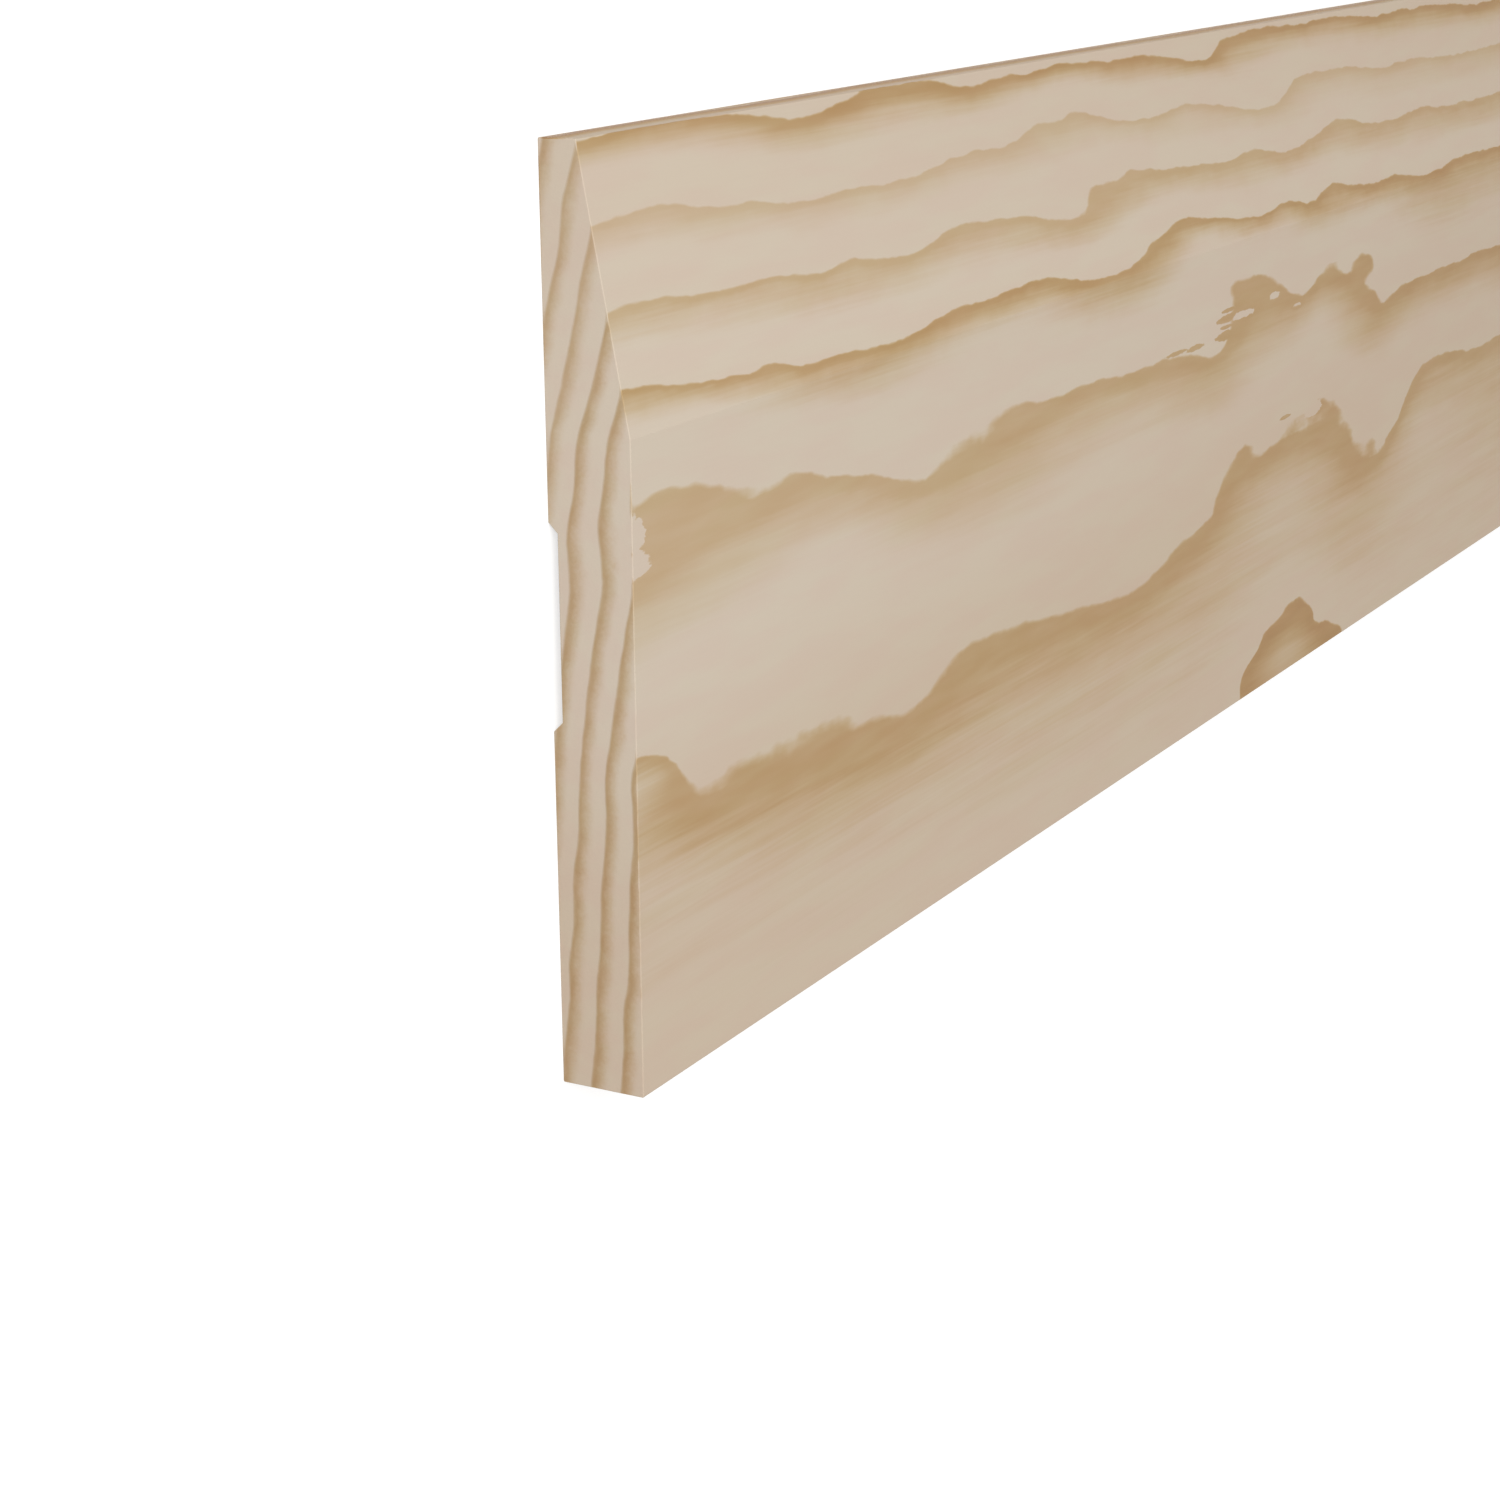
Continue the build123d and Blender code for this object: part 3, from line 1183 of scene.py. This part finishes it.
    def colour(self, bench: NodeBench, given: Sockets, late: Socket) -> Socket:
        """The wood's colour: the pale wood, warmed and partly darkened by painted shade, in places
        pinker, times what the stain leaves.

        Args:
            bench: the bench of the group.
            given: the group's inputs.
            late: the late wood.

        Returns:
            The colour, lightened towards the painted highlight's colour where the group is told to.
        """
        # partly painted shade: the pale wood darkened and warmed by the warm share
        warmed_and_shaded = bench.blend(given["WarmthAndShade"], (*self.pale, 1.0), (*self.warmed_and_shaded_pale(), 1.0))
        patches = bench.eased(bench.figure(Noise.PATCH, self.patch_size), *self.patch_ends)
        pinked = bench.blend(patches, warmed_and_shaded, (*self.pink, 1.0), "MULTIPLY")
        stained = bench.blend(1.0, pinked, self.stain_ramp(bench, late), "MULTIPLY")
        return bench.blend(given["PaintedHighlight"], stained, (*self.painted_highlight, 1.0))

    def warmed_and_shaded_pale(self) -> Colour:
        """The pale wood's colour where it is wholly warmed and shaded, partly by painted shade."""
        return tuple(pale * left for pale, left in zip(self.pale, self.warmth_and_shade))

    def stain_ramp(self, bench: NodeBench, late: Socket) -> Socket:
        """What the stain leaves of each colour: e to the power of less its loss times the late wood.

        Args:
            bench: the bench of the group.
            late: the late wood.

        Returns:
            The colour to multiply by.
        """
        share = bench.maths("DIVIDE", late, self.deepest)
        ramp = bench.lay("ValToRGB", {"Fac": share})
        stops = ramp.color_ramp.elements
        for place in self.stain_stops:
            stops.new(place)
        for stop in stops:
            reach = stop.position * self.deepest
            stop.color = (*(math.exp(-loss * reach) for loss in self.stain), 1.0)
        return ramp.outputs["Color"]


@dataclass(frozen=True)
class BarePine:
    """Bare pine on one kind of cut surface.

    Attributes:
        name: the material's name.
        late_wood: for each of the rings' inputs that differ from cut to cut, the attribute it reads.
        fibre_size: the size of the fine fibre marks along X, Y and Z.
        fibre_tone: how much the fibre marks darken and lighten the wood.
        fibre_depth: the height of the fibre marks, in metres.
        ridge_depth: how far the hard late wood stands out from the soft early wood, in metres.
        early_roughness: the roughness of the pale wood.
        late_roughness: the roughness of the brown wood.
        fibre_roughness: how much the fibre marks roughen both.
        painted_highlight: how far its colour is lightened by a painted highlight.
        sheen: how strongly it mirrors, where 0.5 is a polished surface.
    """

    name: str
    late_wood: dict[str, str]
    fibre_size: Triple
    fibre_tone: float
    fibre_depth: float
    ridge_depth: float
    early_roughness: float
    late_roughness: float
    fibre_roughness: float = 0.1
    painted_highlight: float = 0.0
    sheen: float = 0.2

    def material(self, rings: bpy.types.NodeTree) -> bpy.types.Material:
        """Builds the material: the rings' colour, toned by the fibre, with bump and roughness to match.

        Args:
            rings: the shared group of growth rings.

        Returns:
            The material.
        """
        made = bpy.data.materials.new(self.name)
        made.use_nodes = True
        tree = made.node_tree
        tree.nodes.clear()
        bench = NodeBench(tree)
        wood = bench.lay("Group", node_tree=rings)
        sources = {"Growth": "growth", "Steep": "steep", "WarmthAndShade": "warmth_and_shade", **self.late_wood}
        for name, source in sources.items():
            given = bench.lay("Attribute", attribute_name=source)
            tree.links.new(given.outputs["Fac"], wood.inputs[name])

        fibre = bench.figure(Noise.FIBRE, self.fibre_size, detail=3.0)
        # painted highlight: the fibre noise lightens the eased arrises towards a paler colour
        if self.painted_highlight:
            highlight_share = bench.maths("MULTIPLY", fibre, 2 * self.painted_highlight)
            tree.links.new(highlight_share, wood.inputs["PaintedHighlight"])
        marks = bench.maths("SUBTRACT", fibre, NOISE_MIDDLE)
        tone = bench.maths("MULTIPLY_ADD", marks, self.fibre_tone, 1.0)
        toned = bench.lay("VectorMath", {0: wood.outputs["Colour"], "Scale": tone}, operation="SCALE")
        late = wood.outputs["Late Wood"]
        spread = self.late_roughness - self.early_roughness
        polish = bench.maths("MULTIPLY_ADD", late, spread, self.early_roughness)
        roughness = bench.maths("MULTIPLY_ADD", fibre, self.fibre_roughness, polish)
        ridges = bench.maths("MULTIPLY", late, self.ridge_depth / self.fibre_depth)
        height = bench.maths("ADD", ridges, fibre)
        bump = bench.lay("Bump", {"Height": height, "Strength": 1.0, "Distance": self.fibre_depth})
        surface = bench.lay(
            "BsdfPrincipled",
            {
                "Base Color": toned.outputs[0],
                "Roughness": roughness,
                "Specular IOR Level": self.sheen,
                "Normal": bump.outputs["Normal"],
            },
        )
        bench.lay("OutputMaterial", {"Surface": surface.outputs["BSDF"]})
        return made


PLANED_RINGS = RingPattern(
    name="planed_rings",
    stain=(0.31, 0.56, 1.08),
    pale=shade(211, 197, 178),
    fading=PLANED_FADING,
)

SAWN_RINGS = RingPattern(
    name="sawn_rings",
    stain=(0.37, 0.59, 1.0),
    pale=shade(209, 195, 177),
    fading=SAWN_FADING,
    softness=(0.0, 0.18),
    ripple=(0.0, 0.4),
    fray=0.008,
)

PLANED_LATE_WOOD = {"Brown": "brown", "Breadth": "breadth"}

PLANED_PINE = BarePine(
    name="planed_pine",
    late_wood=PLANED_LATE_WOOD,
    fibre_size=(14 * MM, 0.22 * MM, 0.22 * MM),
    fibre_tone=0.03,
    fibre_depth=0.006 * MM,
    ridge_depth=0.02 * MM,
    early_roughness=0.62,
    late_roughness=0.5,
)

SAWN_PINE = BarePine(
    name="sawn_pine",
    late_wood={"Brown": "sawn_brown"},
    fibre_size=(0.3 * MM, 0.3 * MM, 0.3 * MM),
    fibre_tone=0.05,
    fibre_depth=0.012 * MM,
    ridge_depth=0.03 * MM,
    early_roughness=0.72,
    late_roughness=0.62,
)

# The eased end arrises, with a faint painted highlight in their colour
EASED_PINE = BarePine(
    name="eased_pine",
    late_wood=PLANED_LATE_WOOD,
    fibre_size=(0.6 * MM, 0.6 * MM, 0.6 * MM),
    fibre_tone=0.04,
    fibre_depth=0.006 * MM,
    ridge_depth=0.01 * MM,
    early_roughness=0.55,
    late_roughness=0.5,
    painted_highlight=0.04,
)


@dataclass(frozen=True)
class Studio:
    """The plain white studio: a pale floor, an even sky and one soft lamp.

    Attributes:
        near_end: the middle of the near end, which the lamp is aimed at.
        floor_size: the side of the square floor.
        floor_shade: the floor's own colour.
        floor_glow: the light that the floor gives to the camera alone, on top of what it sends back.
        sky_level: the strength of the sky's light on the object.
        lamp_level: the lamp's light on a surface that faces it, where 1 shows a colour as it is written.
        lamp_towards: the direction from the near end to the lamp.
        lamp_distance: the distance to the lamp.
        lamp_size: the side of the square lamp.
    """

    near_end: Vector
    floor_size: float = 40.0
    floor_shade: float = 0.55
    floor_glow: float = 0.65
    sky_level: float = 0.6
    lamp_level: float = 0.67
    lamp_towards: Triple = (-0.66, 0.45, 0.60)
    lamp_distance: float = 1.6
    lamp_size: float = 1.1

    def floor(self) -> bpy.types.Object:
        """Builds the floor as one square face at the level of the board's back.

        Returns:
            The floor.
        """
        half = self.floor_size / 2
        corners = [(-half, -half, 0.0), (half, -half, 0.0), (half, half, 0.0), (-half, half, 0.0)]
        mesh = bpy.data.meshes.new("floor")
        mesh.from_pydata(corners, [], [(0, 1, 2, 3)])
        floor = bpy.data.objects.new("floor", mesh)
        bpy.context.scene.collection.objects.link(floor)
        mesh.materials.append(self.floor_material())
        return floor

    def floor_material(self) -> bpy.types.Material:
        """Builds the floor's material: pale and matt, glowing for the camera, clear from below.

        Returns:
            The material.
        """
        made = bpy.data.materials.new("studio_floor")
        made.use_nodes = True
        made.node_tree.nodes.clear()
        bench = NodeBench(made.node_tree)
        matt = bench.lay("BsdfDiffuse", {"Color": (*(self.floor_shade,) * 3, 1.0)})
        glow = bench.lay("Emission", {"Strength": self.floor_glow})
        lit = bench.lay("AddShader", {0: matt.outputs[0], 1: glow.outputs[0]})
        seen = bench.lay("MixShader", {0: seen_directly(bench), 1: matt.outputs[0], 2: lit.outputs[0]})
        clear = bench.lay("BsdfTransparent")
        below = bench.lay("NewGeometry").outputs["Backfacing"]
        both = bench.lay("MixShader", {0: below, 1: seen.outputs[0], 2: clear.outputs[0]})
        bench.lay("OutputMaterial", {"Surface": both.outputs[0]})
        return made

    def sky(self) -> bpy.types.World:
        """Builds the sky: an even pale light on the object, and white to whatever sees it directly.

        Returns:
            The sky.
        """
        world = bpy.data.worlds.new("studio_sky")
        world.use_nodes = True
        world.node_tree.nodes.clear()
        bench = NodeBench(world.node_tree)
        light = bench.lay("Background", {"Strength": self.sky_level})
        white = bench.lay("Background", {"Strength": 1.0})
        for node in (light, white):
            node.inputs["Color"].default_value = WHITE
        both = bench.lay("MixShader", {0: seen_directly(bench), 1: light.outputs[0], 2: white.outputs[0]})
        bench.lay("OutputWorld", {"Surface": both.outputs[0]})
        bpy.context.scene.world = world
        return world

    def lamp(self) -> bpy.types.Object:
        """Builds the lamp. Its power is the level times pi squared times the distance squared.

        Returns:
            The lamp.
        """
        data = bpy.data.lights.new("soft_lamp", "AREA")
        data.size = self.lamp_size
        data.energy = self.lamp_level * math.pi**2 * self.lamp_distance**2
        lamp = bpy.data.objects.new("soft_lamp", data)
        towards = Vector(self.lamp_towards).normalized()
        lamp.location = self.near_end + towards * self.lamp_distance
        lamp.rotation_mode = "QUATERNION"
        lamp.rotation_quaternion = towards.to_track_quat("Z", "Y")
        bpy.context.scene.collection.objects.link(lamp)
        return lamp


def seen_directly(bench: NodeBench) -> Socket:
    """A mask of the rays that show a background: from the camera, a reflection or clear glass.

    Args:
        bench: the bench of the tree that needs the mask.

    Returns:
        The mask, 1 for such a ray.
    """
    rays = bench.lay("LightPath").outputs
    reflected = bench.maths("MAXIMUM", rays["Is Glossy Ray"], rays["Is Transmission Ray"])
    return bench.maths("MAXIMUM", rays["Is Camera Ray"], reflected)


@dataclass(frozen=True)
class Viewpoint:
    """The camera, placed from the near end's corner at the foot of the back.

    Attributes:
        foot: that corner.
        offset: the camera's place from it.
        forwards: the direction that the camera looks in.
        rightwards: the direction to the right of its picture.
        lens: the focal length, in millimetres.
        film: the width of the film, in millimetres.
        clip: the nearest and the furthest that it sees, in metres.
    """

    foot: Vector
    offset: Triple = (-0.32211, 0.15590, 0.20707)
    forwards: Triple = (0.83891, -0.28042, -0.46647)
    rightwards: Triple = (0.48355, -0.00940, 0.87527)
    lens: float = 76.5
    film: float = 36.0
    clip: Pair = (0.01, 100.0)

    def camera(self) -> bpy.types.Object:
        """Builds the camera and makes it the scene's own.

        Its directions are made square to each other: up is square to the view and to the rightwards
        direction, and right is square to the view and to up.

        Returns:
            The camera.
        """
        data = bpy.data.cameras.new("camera")
        data.lens = self.lens
        data.sensor_width = self.film
        data.clip_start, data.clip_end = self.clip
        camera = bpy.data.objects.new("camera", data)
        back = -Vector(self.forwards).normalized()
        up = back.cross(Vector(self.rightwards)).normalized()
        right = up.cross(back)
        turn = Matrix((right, up, back)).transposed().to_4x4()
        camera.matrix_world = Matrix.Translation(self.foot + Vector(self.offset)) @ turn
        bpy.context.scene.collection.objects.link(camera)
        bpy.context.scene.camera = camera
        return camera


def main() -> None:
    """Builds the camera, the studio and the board, and reports each."""
    logging.basicConfig(level=logging.INFO, format="%(name)s: %(message)s")
    bpy.context.scene.view_settings.view_transform = "Standard"

    foot = LOW.copy()
    camera = Viewpoint(foot).camera()
    log.info("camera at %s", [round(part, 4) for part in camera.location])

    studio = Studio(near_end=Vector((LOW.x, 0.0, HIGH.z / 2)))
    for item in (studio.floor(), studio.sky(), studio.lamp()):
        log.info("studio: %s", item.name)

    section = Section(width=HIGH.y - LOW.y, thickness=HIGH.z - LOW.z)
    growth = GrowthField(section, foot)
    log.info("growth field: %d measured points", len(growth.anchors))

    face_foot = foot + Vector((0.0, 0.0, section.thickness))
    planed, sawn = PLANED_RINGS.group(face_foot), SAWN_RINGS.group(face_foot)
    finishes = {
        Surface.PLANED: PLANED_PINE.material(planed),
        Surface.SAWN: SAWN_PINE.material(sawn),
        Surface.EASED: EASED_PINE.material(planed),
    }
    log.info("finishes: %s", ", ".join(finish.name for finish in finishes.values()))

    board = Board(section, LOW, HIGH)
    mesh = board.mesh(growth, WarmthAndPaintedShade())
    board.dress(mesh, finishes)
    piece = board.place(mesh)
    log.info("%s: %d corners, %d faces", piece.name, len(mesh.vertices), len(mesh.polygons))


if __name__ == "__main__":
    main()
